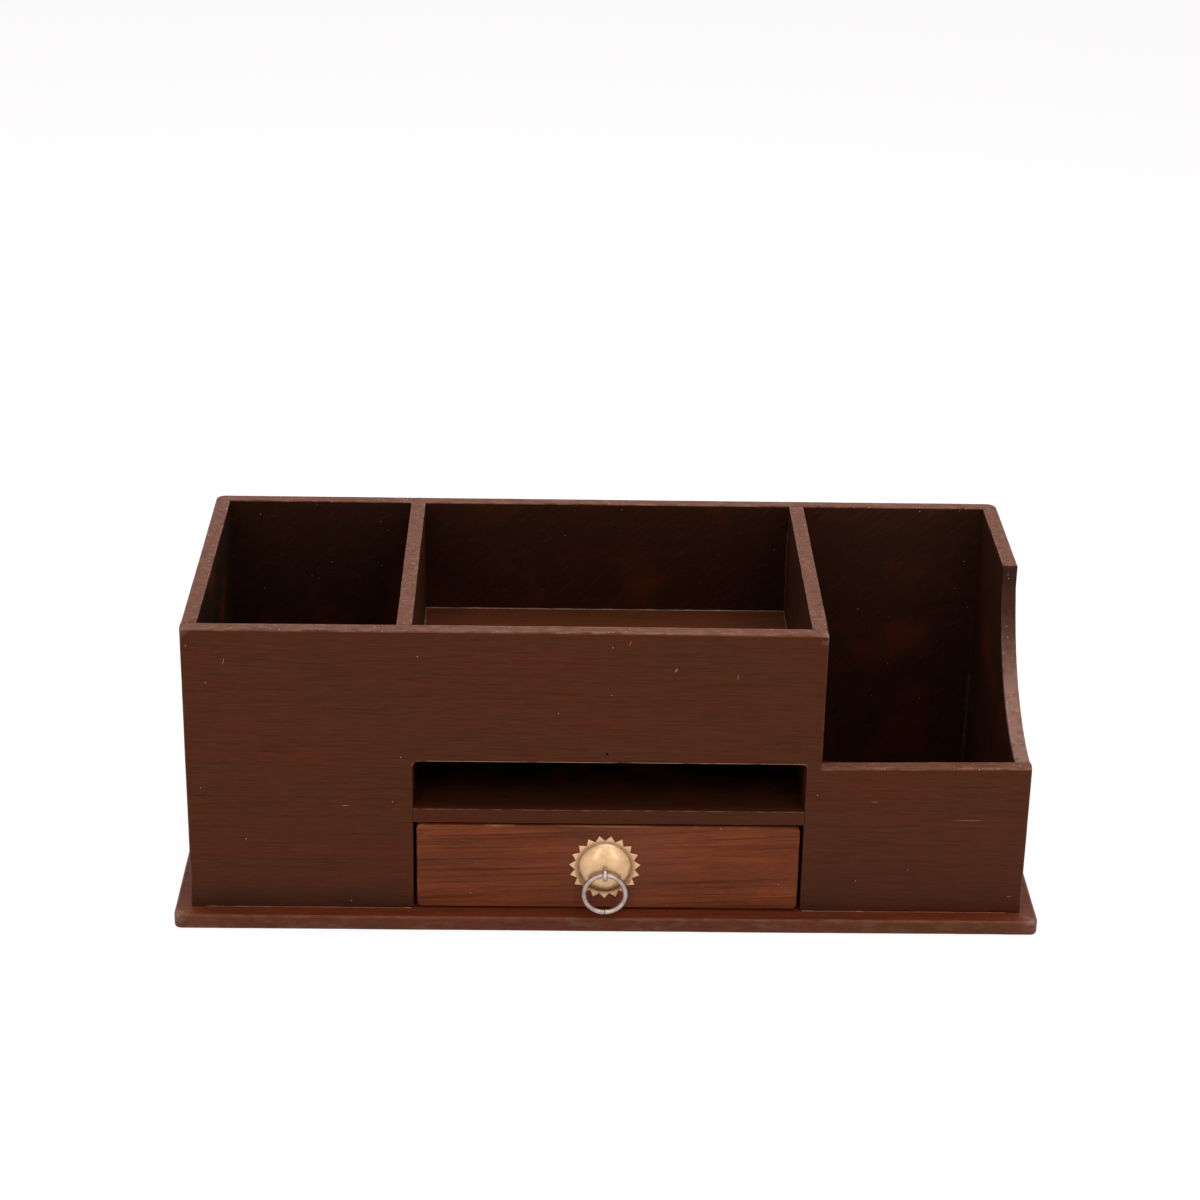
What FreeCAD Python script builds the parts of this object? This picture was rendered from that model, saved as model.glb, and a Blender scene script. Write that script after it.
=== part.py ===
"""Pen stand with drawer: a pinned wooden carcass on a lipped base, and a drawer with a brass ring pull.

Frame: +Z up, the front faces -Y, X to the right. The origin is the centre of the base plate's underside.
Lengths are in millimetres.
"""
import FreeCAD, Part
import math
import os
from FreeCAD import Vector

# Boards and carcass
board = 6.0                # carcass boards
back_board = 5.4           # the back panel is planed thinner
width = 330.8              # carcass, across the outer faces of the sides
depth = 136.0              # carcass, front face to back face
top_z = 127.8              # tall rims above the table
low_z = 70.9               # low front of the letter compartment
bay_width = 154.0          # clear width between the two dividers

# Base plate
base_thick = 6.3
side_lip = 6.4             # how far the plate stands out at each side and at the back
front_lip = 7.2
base_corner = 2.0          # corners of the plate, in plan
base_arris = 1.0

# Front opening, shelf and tray
opening_top_z = 71.8
opening_corner = 1.5
opening_arris = 0.5
shelf_z = 45.0             # undersides
tray_floor_z = 72.8

# Right side: a level rim, a step down, then a concave sweep to the low front
step_depth = 69.0          # front face to the step
sweep_radius = 70.0
sweep_start = 3.0          # front face to where the sweep lies level with the low front

# Softened edges
rim_arris = 0.7
back_corner = 4.5          # standing corners of the back panel

# Drawer
drawer_side_gap = 1.25     # front board to the opening, each side
drawer_top_gap = 1.0
drawer_floor_gap = 0.7
runner_gap = 0.3           # side boards above the base plate
drawer_back_gap = 0.5
drawer_front_thick = 9.0
drawer_board = 6.0
drawer_side_clear = 1.5    # side boards to the dividers
drawer_rim_z = 40.5
lap_lip = 4.0              # front board left in front of each side board
bottom_thick = 3.0
bottom_z = 8.8
groove_depth = 2.0
drawer_arris = 0.8

# Ring pull
pull_x = -1.2              # the pull sits a little left of centre
pull_z = 25.8
tooth_count = 19
tooth_tip_radius = 14.2
tooth_root_radius = 11.7
valley_web = 0.1           # flange beyond the roots, so the valleys are blunt
tooth_tip_thick = 0.45
tooth_root_thick = 0.9
tooth_heel_radius = 10.75  # ridges start at the dome's foot
tooth_heel_thick = 1.5
flange_thick = 0.95        # the roots of the sunrays meet inside the flange
dome_radius = 10.7
dome_height = 4.7          # above the drawer face
crown_radius = 20.5
dome_shoulder = 0.6        # eased edge between crown and foot
dome_sheet = 0.6
eye_hole_radius = 1.7
eye_wire = 1.4
eye_bore = 2.5
eye_out = 6.7              # drawer face to the middle of the eye
eye_sides = 8              # flats that stand for round wire
leg_drill_radius = 1.5
leg_half_gap = 0.62        # pin's middle to each leg's middle: the legs press together
leg_bend = 0.77            # to the middle of the wire
leg_length = 7.0           # each leg's bent end
ring_wire = 1.9
ring_sides = 10
ring_radius = 8.35         # to the middle of the wire
ring_joint_gap = 0.25      # butt joint of the ring
ring_drop = 0.15           # the wire hangs on the lower side of the eye

# Panel pins
pin_radius = 0.6
pin_sides = 6
pin_length = 16.0
pin_sunk = 1.2             # punched under the surface and stopped

# Places that follow from the sizes above
half = width / 2
front_y = front_lip - (front_lip + depth + side_lip) / 2
back_y = front_y + depth
inner_front_y = front_y + board
inner_back_y = back_y - back_board
bay = bay_width / 2
divider_x = bay + board / 2
bay_front = bay - drawer_side_gap
pull_face_y = front_y
drawer_end_y = inner_back_y - drawer_back_gap
drawer_out_x = bay - drawer_side_clear
drawer_in_x = drawer_out_x - drawer_board
drawer_low_z = base_thick + runner_gap
bottom_top_z = bottom_z + bottom_thick
eye_y = pull_face_y - eye_out


def block(x0, x1, y0, y1, z0, z1):
    """A board between three pairs of faces."""
    return Part.makeBox(x1 - x0, y1 - y0, z1 - z0, Vector(x0, y0, z0))


def soften(shape, radius, chosen):
    """Rounds the edges whose bounding box satisfies chosen."""
    edges = [edge for edge in shape.Edges if chosen(edge.BoundBox)]
    return shape.makeFillet(radius, edges)


def near(a, b):
    return abs(a - b) < 1e-3


def level_at(box, z):
    """An edge that lies level at height z."""
    return near(box.ZMin, z) and near(box.ZMax, z)


def across(box, y):
    """An edge that runs along X in the plane Y = y."""
    return near(box.YMin, y) and near(box.YMax, y) and box.XLength > 1.0


def upright(box):
    return box.ZLength > 1.0 and box.XLength < 1e-3 and box.YLength < 1e-3


def polygon_face(points):
    return Part.Face(Part.makePolygon(points + points[:1]))


def round_section(centre, across, over, radius, sides):
    """A many-sided outline round centre, in the plane of two unit vectors."""
    turns = [2 * math.pi * (side + 0.5) / sides for side in range(sides)]
    return polygon_face([centre + across * (radius * math.cos(turn)) + over * (radius * math.sin(turn))
                         for turn in turns])


def rod(start, along, radius, sides):
    turn = FreeCAD.Rotation(Vector(0, 0, 1), along)
    across, over = turn.multVec(Vector(1, 0, 0)), turn.multVec(Vector(0, 1, 0))
    return round_section(start, across, over, radius, sides).extrude(along)


def bent_wire(centre, axis, start, wire, sides, degrees):
    """Wire bent round an axis, from start."""
    outward = (start - centre).normalize()
    return round_section(start, outward, axis, wire / 2, sides).revolve(centre, axis, degrees)


# Panel pins. Each place is the pin's outer end and the way it was driven.

def carcass_pin_places():
    into = Vector(0, 1, 0)
    back_out = Vector(0, -1, 0)
    tray_mid = tray_floor_z + board / 2
    shelf_mid = shelf_z + board / 2
    side_mid = half - board / 2
    front = [(-side_mid, z) for z in (24, 66, 108)]
    front += [(side_mid, z) for z in (20, 56)]
    front += [(-divider_x, z) for z in (24, 66, 108)]
    front += [(divider_x, z) for z in (24, 58, 108)]
    front += [(x, tray_mid) for x in (-50, pull_x, 50)]
    back = [(x, z) for x in (-side_mid, -divider_x, divider_x, side_mid) for z in (24, 100)]
    back += [(x, z) for x in (-40, 40) for z in (tray_mid, shelf_mid)]
    places = [(Vector(x, front_y + pin_sunk, z), into) for x, z in front]
    places += [(Vector(x, back_y - pin_sunk, z), back_out) for x, z in back]
    for y in (inner_front_y + 34, inner_back_y - 34):
        for z in (tray_mid, shelf_mid):
            places.append((Vector(-bay - board + pin_sunk, y, z), Vector(1, 0, 0)))
            places.append((Vector(bay + board - pin_sunk, y, z), Vector(-1, 0, 0)))
    return places


def base_pin_places():
    ys = (inner_front_y + 24, inner_back_y - 24)
    xs = (-half + board / 2, -divider_x, divider_x, half - board / 2)
    places = [(x, y) for x in xs for y in ys]
    places += [(x, front_y + board / 2) for x in (-125, 125)]
    places += [(x, back_y - back_board / 2) for x in (-120, 0, 120)]
    return [(Vector(x, y, pin_sunk), Vector(0, 0, 1)) for x, y in places]


def drawer_pin_places():
    places = []
    for side in (-1, 1):
        for y in (front_y + lap_lip + 2.5, drawer_end_y - drawer_board / 2):
            for z in (16, 32):
                point = Vector(side * (drawer_out_x - pin_sunk), y, z)
                places.append((point, Vector(-side, 0, 0)))
    return places


def pins(places):
    return Part.makeCompound([rod(point, direction * pin_length, pin_radius, pin_sides)
                              for point, direction in places])


# Carcass

def base_plate():
    half_x = half + side_lip
    plate = block(-half_x, half_x, front_y - front_lip, back_y + side_lip, 0, base_thick)
    plate = soften(plate, base_corner, upright)
    return soften(plate, base_arris, lambda box: level_at(box, base_thick))


def front_panel():
    tall_x = bay + board
    outline = [(-half, base_thick), (-half, top_z), (tall_x, top_z), (tall_x, low_z),
               (half, low_z), (half, base_thick)]
    panel = polygon_face([Vector(x, front_y, z) for x, z in outline]).extrude(Vector(0, board, 0))
    opening = block(-bay, bay, front_y - 1, inner_front_y + 1, base_thick - 1, opening_top_z)
    opening = soften(opening, opening_corner,
                     lambda box: level_at(box, opening_top_z) and box.YLength > board)
    panel = panel.cut(opening)
    around = [edge for edge in panel.Edges
              if near(edge.BoundBox.YMax, front_y) and abs(edge.CenterOfMass.x) < bay + 1e-3
              and base_thick + 1e-3 < edge.CenterOfMass.z < opening_top_z + 1e-3]
    panel = panel.makeChamfer(opening_arris, around)
    return soften(panel, rim_arris,
                  lambda box: across(box, front_y) and (level_at(box, top_z) or level_at(box, low_z)))


def back_panel():
    panel = block(-half, half, inner_back_y, back_y, base_thick, top_z)
    panel = soften(panel, back_corner, lambda box: upright(box) and near(box.YMin, back_y))
    return soften(panel, rim_arris, lambda box: across(box, back_y) and level_at(box, top_z))


def left_side():
    side = block(-half, -half + board, inner_front_y, inner_back_y, base_thick, top_z)
    return soften(side, rim_arris, lambda box: level_at(box, top_z) and near(box.XMax, -half))


def right_side():
    """Level rim at the back, an upright step, then an arc that lands on the low front."""
    centre_y = front_y + sweep_start
    centre_z = low_z + sweep_radius
    step_y = front_y + step_depth

    def on_arc(y):
        rise = math.sqrt(sweep_radius ** 2 - (y - centre_y) ** 2)
        return Vector(half, y, centre_z - rise)

    foot, hip = on_arc(inner_front_y), on_arc(step_y)
    middle = on_arc((inner_front_y + step_y) / 2)
    corners = [hip, Vector(half, step_y, top_z), Vector(half, inner_back_y, top_z),
               Vector(half, inner_back_y, base_thick), Vector(half, inner_front_y, base_thick), foot]
    edges = Part.makePolygon(corners).Edges + [Part.Arc(foot, middle, hip).toShape()]
    face = Part.Face(Part.Wire(Part.__sortEdges__(edges)))
    side = face.extrude(Vector(-board, 0, 0))
    return soften(side, rim_arris,
                  lambda box: near(box.XMin, half) and box.ZMin > low_z and box.YMin < inner_back_y - 1)


def divider(x):
    return block(x - board / 2, x + board / 2, inner_front_y, inner_back_y, base_thick, top_z)


def shelf():
    """The drawer's ceiling, whose front edge shows in the opening."""
    plank = block(-bay, bay, front_y, inner_back_y, shelf_z, shelf_z + board)
    return soften(plank, rim_arris, lambda box: across(box, front_y) and level_at(box, shelf_z + board))


def tray_floor():
    return block(-bay, bay, inner_front_y, inner_back_y, tray_floor_z, tray_floor_z + board)


# Drawer

def bottom_groove():
    """The slot that runs round the inside of the drawer for its bottom."""
    x = drawer_in_x + groove_depth
    y = front_y + drawer_front_thick - groove_depth
    return block(-x, x, y, drawer_end_y + 1, bottom_z, bottom_top_z)


def drawer_front():
    """Lapped over both side boards, grooved for the bottom, and drilled for the eye's legs."""
    low, high = base_thick + drawer_floor_gap, shelf_z - drawer_top_gap
    front = block(-bay_front, bay_front, front_y, front_y + drawer_front_thick, low, high)
    front = soften(front, drawer_arris,
                   lambda box: near(box.YMin, front_y) and near(box.YMax, front_y))
    for side in (-1, 1):
        ends = sorted((side * drawer_in_x, side * (bay_front + 1)))
        front = front.cut(block(ends[0], ends[1], front_y + lap_lip,
                                front_y + drawer_front_thick + 1, low - 1, drawer_rim_z))
    hole = Part.makeCylinder(leg_drill_radius, drawer_front_thick + 2,
                             Vector(pull_x, front_y - 1, pull_z), Vector(0, 1, 0))
    return front.cut(bottom_groove()).cut(hole)


def drawer_side(sign):
    xs = sorted((sign * drawer_in_x, sign * drawer_out_x))
    plank = block(xs[0], xs[1], front_y + lap_lip, drawer_end_y, drawer_low_z, drawer_rim_z)
    return plank.cut(bottom_groove())


def drawer_back():
    """Stands on the bottom, between the sides."""
    return block(-drawer_in_x, drawer_in_x, drawer_end_y - drawer_board, drawer_end_y,
                 bottom_top_z, drawer_rim_z)


def drawer_bottom():
    x = drawer_in_x + groove_depth
    y = front_y + drawer_front_thick - groove_depth
    return block(-x, x, y, drawer_end_y, bottom_z, bottom_top_z)


# Ring pull

def pull_point(radius, turn, out):
    """A point round the rosette: turn in radians from the top, out from the drawer face."""
    return Vector(pull_x + radius * math.sin(turn), pull_face_y - out, pull_z + radius * math.cos(turn))


def tooth(index):
    """A sunray: flat behind, with a ridge that falls from the foot of the dome to the tip."""
    pitch = 2 * math.pi / tooth_count
    turn = math.pi + index * pitch
    left, right = [pull_point(tooth_root_radius, turn + s * pitch / 2, 0) for s in (-1, 1)]
    left_top, right_top = [pull_point(tooth_root_radius, turn + s * pitch / 2, tooth_root_thick)
                           for s in (-1, 1)]
    heel = pull_point(tooth_heel_radius, turn, 0)
    heel_top = pull_point(tooth_heel_radius, turn, tooth_heel_thick)
    tip = pull_point(tooth_tip_radius, turn, 0)
    tip_top = pull_point(tooth_tip_radius, turn, tooth_tip_thick)
    outlines = [[heel, left, tip, right],
                [heel, heel_top, left_top, left], [heel, right, right_top, heel_top],
                [left, left_top, tip_top, tip], [right, tip, tip_top, right_top],
                [heel_top, tip_top, left_top], [heel_top, right_top, tip_top]]
    return Part.makeSolid(Part.makeShell([polygon_face(points) for points in outlines]))


def dome(inset):
    """A shallow crown on an upright foot, solid to the drawer face, drawn in all over by inset."""
    centre, out = pull_point(0, 0, 0), Vector(0, -1, 0)
    ball = Part.makeSphere(crown_radius - inset, centre + out * (dome_height - crown_radius))
    return ball.common(Part.makeCylinder(dome_radius - inset, dome_height, centre, out))


def rosette():
    """Pressed brass: a hollow dome on a flange whose rim is cut into sunrays."""
    centre, out = pull_point(0, 0, 0), Vector(0, -1, 0)
    flange = Part.makeCylinder(tooth_root_radius + valley_web, flange_thick, centre, out)
    crown = dome(0)
    shoulder = [edge for edge in crown.Edges
                if across(edge.BoundBox, edge.BoundBox.YMin) and edge.BoundBox.YMin < pull_face_y - flange_thick]
    crown = crown.makeChamfer(dome_shoulder, shoulder)
    teeth = [tooth(index) for index in range(tooth_count)]
    hole = Part.makeCylinder(eye_hole_radius, dome_height + 1, centre, out)
    return flange.fuse(teeth + [crown]).cut(dome(dome_sheet)).cut(hole).removeSplitter()


def ring_eye():
    """A split pin: a wire loop outside, two legs through the drawer front, bent apart inside."""
    wire = eye_wire / 2
    loop_radius = (eye_bore + eye_wire) / 2
    middle = Vector(pull_x, eye_y, pull_z)
    sideways, inward = Vector(1, 0, 0), Vector(0, 1, 0)
    loop = bent_wire(middle, sideways, middle + Vector(0, 0, loop_radius), eye_wire, eye_sides, 360)
    neck_y = eye_y + math.sqrt(loop_radius ** 2 - leg_half_gap ** 2)
    bend_y = front_y + drawer_front_thick + wire - leg_bend
    legs = []
    for side in (-1, 1):
        apart = Vector(0, 0, side)
        neck = Vector(pull_x, neck_y, pull_z) + apart * leg_half_gap
        bend = Vector(pull_x, bend_y, pull_z) + apart * leg_half_gap
        turned = bend + inward * leg_bend + apart * leg_bend
        legs += [rod(neck, bend - neck, wire, eye_sides),
                 bent_wire(bend + apart * leg_bend, sideways * side, bend, eye_wire, eye_sides, 90),
                 rod(turned, apart * leg_length, wire, eye_sides)]
    return loop.fuse(legs).removeSplitter()


def pull_ring():
    """Round wire bent to a ring, its ends butted at the bottom."""
    middle = Vector(pull_x, eye_y, pull_z - ring_drop - ring_radius)
    gap = math.degrees(ring_joint_gap / ring_radius)
    to_end = FreeCAD.Rotation(Vector(0, 1, 0), gap / 2).multVec(Vector(0, 0, -ring_radius))
    return bent_wire(middle, Vector(0, 1, 0), middle + to_end, ring_wire, ring_sides, 360 - gap)


def build():
    carcass_pins = pins(carcass_pin_places())
    base_pins = pins(base_pin_places())
    drawer_pins = pins(drawer_pin_places())
    carcass = {"base_plate": base_plate(), "front_panel": front_panel(), "back_panel": back_panel(),
               "left_side": left_side(), "right_side": right_side(), "pen_divider": divider(-divider_x),
               "letter_divider": divider(divider_x), "shelf": shelf(), "tray_floor": tray_floor()}
    drawer = {"drawer_front": drawer_front(), "drawer_left_side": drawer_side(-1),
              "drawer_right_side": drawer_side(1), "drawer_back": drawer_back(),
              "drawer_bottom": drawer_bottom()}
    nodes = {name: shape.cut(base_pins).cut(carcass_pins) for name, shape in carcass.items()}
    nodes.update({name: shape.cut(drawer_pins) for name, shape in drawer.items()})
    nodes.update({"carcass_pins": carcass_pins, "base_pins": base_pins, "drawer_pins": drawer_pins,
                  "rosette": rosette(), "ring_eye": ring_eye(), "pull_ring": pull_ring()})
    return nodes


os.makedirs("parts", exist_ok=True)
for name, shape in build().items():
    shape.exportStep(f"parts/{name}.step")
    print(f"{name}: {len(shape.Solids)} solid(s), {shape.Volume / 1000:.2f} cm3, valid {shape.isValid()}")
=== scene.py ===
import math

import bmesh
import bpy
from mathutils import Matrix, Vector, noise


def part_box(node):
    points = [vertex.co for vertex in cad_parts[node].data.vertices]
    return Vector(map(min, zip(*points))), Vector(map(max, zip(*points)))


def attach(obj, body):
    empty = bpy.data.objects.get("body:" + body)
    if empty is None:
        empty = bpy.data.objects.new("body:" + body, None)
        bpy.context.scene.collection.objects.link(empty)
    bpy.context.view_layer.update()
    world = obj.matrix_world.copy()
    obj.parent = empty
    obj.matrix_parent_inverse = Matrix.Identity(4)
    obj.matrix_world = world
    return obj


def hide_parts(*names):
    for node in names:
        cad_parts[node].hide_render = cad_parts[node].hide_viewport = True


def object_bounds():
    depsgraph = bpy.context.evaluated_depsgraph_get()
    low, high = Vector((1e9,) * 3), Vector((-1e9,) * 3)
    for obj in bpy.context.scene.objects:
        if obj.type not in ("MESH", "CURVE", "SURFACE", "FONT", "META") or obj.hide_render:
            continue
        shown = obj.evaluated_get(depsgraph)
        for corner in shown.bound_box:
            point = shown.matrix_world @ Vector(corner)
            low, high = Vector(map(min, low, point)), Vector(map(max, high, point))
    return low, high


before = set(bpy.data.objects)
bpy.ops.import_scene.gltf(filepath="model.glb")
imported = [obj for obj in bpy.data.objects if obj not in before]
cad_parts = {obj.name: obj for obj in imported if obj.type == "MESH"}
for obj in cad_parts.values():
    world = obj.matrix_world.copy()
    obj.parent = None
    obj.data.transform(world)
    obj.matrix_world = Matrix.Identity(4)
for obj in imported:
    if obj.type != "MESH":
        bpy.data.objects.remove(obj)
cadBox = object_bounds()
bpy.ops.object.select_all(action="DESELECT")
mm = 0.001
near = 0.1                 # mm; places closer than this count as the same
sharp = math.radians(50)   # faces that meet at more than this have an edge between them


# Camera: eye level a little above the pen stand, looking down on it

cameraSetup = {
    "lens": 86.2, "film": 36.0,   # mm, on a square frame
    "place": (-25.63, -1064.77, 586.47),
    "pitch": 0.41957,   # radians below level
    "yaw": 0.0206,
    "roll": 0.01891,
    "reach": 50.0,   # metres
}


def addCamera(setup):
    data = bpy.data.cameras.new("camera")
    data.lens = setup["lens"]
    data.sensor_width = setup["film"]
    data.clip_end = setup["reach"]
    camera = bpy.data.objects.new("camera", data)
    bpy.context.scene.collection.objects.link(camera)
    turn = Matrix.Rotation(-setup["yaw"], 4, "Z")
    tilt = Matrix.Rotation(math.pi / 2 - setup["pitch"], 4, "X")
    roll = Matrix.Rotation(setup["roll"], 4, "Z")
    camera.matrix_world = Matrix.Translation(Vector(setup["place"]) * mm) @ turn @ tilt @ roll
    bpy.context.scene.camera = camera


addCamera(cameraSetup)
print("camera set")


# Places that several pieces share, in mm

def nodeBox(name):
    low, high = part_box(name)
    return low / mm, high / mm


frontFace = nodeBox("front_panel")[0].y
bayRight = nodeBox("shelf")[1].x
eyeLow, eyeHigh = nodeBox("ring_eye")
pullCentre = (eyeLow + eyeHigh) / 2
pullCentre.y = nodeBox("drawer_front")[0].y


# Small helpers for modelling

def finishObject(name):
    # the object goes to the origin, its place into its mesh
    obj = bpy.context.object
    obj.name = obj.data.name = name
    bpy.ops.object.transform_apply(location=True, rotation=True, scale=True)
    return obj


def makeActive(obj):
    bpy.ops.object.select_all(action="DESELECT")
    bpy.context.view_layer.objects.active = obj
    obj.select_set(True)


def editMode(obj, kind="FACE"):
    makeActive(obj)
    bpy.ops.object.mode_set(mode="EDIT")
    bpy.ops.mesh.select_mode(type=kind)
    bpy.ops.mesh.select_all(action="DESELECT")


def objectMode():
    bpy.ops.object.mode_set(mode="OBJECT")


def faceOutwards():
    # the last step in edit mode
    bpy.ops.mesh.select_all(action="SELECT")
    bpy.ops.mesh.normals_make_consistent(inside=False)
    objectMode()


def pick(obj, kind, test):
    # kind is verts, edges or faces; test gets each one
    bpy.ops.mesh.select_all(action="DESELECT")
    mesh = bmesh.from_edit_mesh(obj.data)
    for part in getattr(mesh, kind):
        if test(part):
            part.select_set(True)
    mesh.select_flush_mode()
    bmesh.update_edit_mesh(obj.data)


def middle(part):
    return sum((vert.co for vert in part.verts), Vector()) / len(part.verts) / mm


def share(value):
    return min(max(value, 0.0), 1.0)


def isSharp(edge):
    return edge.calc_face_angle(0) > sharp


def runsAlong(edge, axis):
    return abs(edge.verts[0].co[axis] - edge.verts[1].co[axis]) > 1 * mm


def bevelSharp(obj, radius, segments=3, test=lambda edge: True):
    # leaves the bevelled faces selected
    editMode(obj, "EDGE")
    pick(obj, "edges", lambda edge: isSharp(edge) and test(edge))
    bpy.ops.mesh.bevel(offset=radius * mm, segments=segments, affect="EDGES", clamp_overlap=True)
    objectMode()


def stops(low, high, step):
    # even stops from low to high, no further apart than step
    count = max(1, math.ceil((high - low) / step))
    return [low + (high - low) * i / count for i in range(count + 1)]


def cutAcross(obj, axis, places, test=lambda face: True):
    # cuts the faces that pass the test square across one axis, at each place in mm
    normal = [float(axis == i) for i in range(3)]
    for place in places:
        pick(obj, "faces", test)
        bpy.ops.mesh.bisect(plane_co=[n * place * mm for n in normal], plane_no=normal, threshold=1e-6)


def addSheet(name, low, high, thin, cell=math.inf):
    # a flat grid on the lower face across the thin axis; low and high are corners in mm
    size = high - low
    centre = (low + high) / 2
    centre[thin] = low[thin]
    turns = {0: (math.pi / 2, 0, math.pi / 2), 1: (math.pi / 2, 0, 0), 2: (0, 0, 0)}
    a, b = [axis for axis in range(3) if axis != thin]
    bpy.ops.mesh.primitive_grid_add(
        x_subdivisions=max(1, round(size[a] / cell)), y_subdivisions=max(1, round(size[b] / cell)),
        size=1, location=centre * mm, rotation=turns[thin])
    bpy.context.object.scale = (size[a] * mm, size[b] * mm, 1)
    return finishObject(name)


def thicken(obj, thin, thickness):
    move = [0, 0, 0]
    move[thin] = thickness * mm
    editMode(obj)
    bpy.ops.mesh.select_all(action="SELECT")
    bpy.ops.mesh.extrude_region_move(TRANSFORM_OT_translate={"value": move})
    faceOutwards()


def wireFromLine(obj, name, wire, rounds=5):
    # a line of edges becomes round wire, with rounds arcs to each quarter turn
    objectMode()
    bpy.ops.object.convert(target="CURVE")
    obj.data.bevel_depth = wire / 2 * mm
    obj.data.bevel_resolution = rounds
    obj.data.use_fill_caps = True
    bpy.ops.object.convert(target="MESH")
    obj = bpy.context.object
    obj.name = obj.data.name = name
    editMode(obj)
    bpy.ops.mesh.select_all(action="SELECT")
    bpy.ops.mesh.remove_doubles(threshold=1e-6)
    faceOutwards()
    bpy.ops.object.shade_smooth_by_angle(angle=sharp)
    return obj


# mm: how far hand planing wanders, and over what length; the same way each time
handWork = {"reach": 0.14, "span": 55.0, "edge": 0.05, "edgeSpan": 4.0, "seed": 3}
noise.seed_set(handWork["seed"])


def handPlane(obj):
    # planed and sanded by hand: long shallow waves, and finer ones on the edges
    arris = obj.data.attributes["arris"].data
    worn = {v for face in obj.data.polygons if arris[face.index].value > 0 for v in face.vertices}
    low, high = cadBox
    for vert in obj.data.vertices:
        place = vert.co / mm
        shift = noise.noise_vector(place / handWork["span"]) * handWork["reach"]
        if vert.index in worn:
            shift += noise.noise_vector(place / handWork["edgeSpan"]) * handWork["edge"]
        moved = vert.co + shift * mm
        vert.co = [min(max(moved[i], low[i]), high[i]) for i in range(3)]


def markFaces(obj, name, amountAt):
    attribute = obj.data.attributes.new(name, "FLOAT", "FACE")
    for face in obj.data.polygons:
        attribute.data[face.index].value = amountAt(face)


def markPoints(obj, name, amountAt):
    attribute = obj.data.attributes.new(name, "FLOAT", "POINT")
    for vert in obj.data.vertices:
        attribute.data[vert.index].value = amountAt(vert.co / mm)


def nearSpot(place, spot, radius):
    # 1 on the spot, 0 from the radius out
    return max(0.0, 1 - (place - Vector(spot)).length / radius)


def markArris(obj, below=0.3, upright=0.2):
    # the bevelled faces are still selected from the bevel; hands and cloths rub those that look up most
    attribute = obj.data.attributes.get("arris") or obj.data.attributes.new("arris", "FLOAT", "FACE")
    for face in obj.data.polygons:
        if face.select:
            down = below if face.normal.z < -0.3 else 0.0
            attribute.data[face.index].value = max(upright, share(face.normal.z * 2), down)


def markRim(obj, lowest):
    # faces above a height, by how far they look up; their paler colour is partly their own edge grain and
    # partly painted sheen from above
    markFaces(obj, "rim", lambda face: share((face.normal.z - 0.02) / 0.2)
              if face.center.z > lowest * mm else 0.0)


# Painted shade on the shelf slot's floor, darker from its mouth inwards; the last two are mm
slotShade = {"most": 1.35, "least": 0.2, "start": 4.0, "run": 24.0}


def markInner(obj, directions, shadeAndStainAmount=1.0):
    # faces that look into a compartment, painted darker as shade and carrying the inside stain; each
    # direction is an axis and a sign
    slotTop = nodeBox("tray_floor")[1].z

    def shadeAndStainAt(face):
        if not any(face.normal[axis] * sign > 0.7 for axis, sign in directions):
            return 0.0
        place = face.center / mm
        if abs(place.x) >= bayRight + near or place.z >= slotTop:
            return shadeAndStainAmount
        # in the slot the painted shade deepens from the mouth inwards
        deep = share((place.y - frontFace - slotShade["start"]) / slotShade["run"])
        return slotShade["most"] * max(deep, slotShade["least"])

    markFaces(obj, "inner", shadeAndStainAt)


def smoothBoard(obj):
    makeActive(obj)
    bpy.ops.object.shade_smooth()
    weigh = obj.modifiers.new("flatFaces", "WEIGHTED_NORMAL")
    weigh.weight = 80
    bpy.ops.object.modifier_apply(modifier=weigh.name)


def addPiece(obj, body, material, nodes):
    obj.data.materials.clear()
    obj.data.materials.append(material)
    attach(obj, body)
    for name in nodes:
        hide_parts(name)


# Materials

def linear(code):
    # a hex colour as it is seen, to the linear values that shaders use
    parts = [int(code[i:i + 2], 16) / 255 for i in (1, 3, 5)]
    return [c / 12.92 if c <= 0.04045 else ((c + 0.055) / 1.055) ** 2.4 for c in parts] + [1]


def addNode(tree, kind, settings=None, links=None):
    made = tree.nodes.new(kind)
    for key, value in (settings or {}).items():
        if isinstance(key, int) or key in made.inputs:
            made.inputs[key].default_value = value
        else:
            setattr(made, key, value)
    for key, source in (links or {}).items():
        tree.links.new(source, made.inputs[key])
    return made


def newMaterial(name):
    material = bpy.data.materials.new(name)
    material.use_nodes = True
    material.node_tree.nodes.clear()
    return material, material.node_tree
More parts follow.
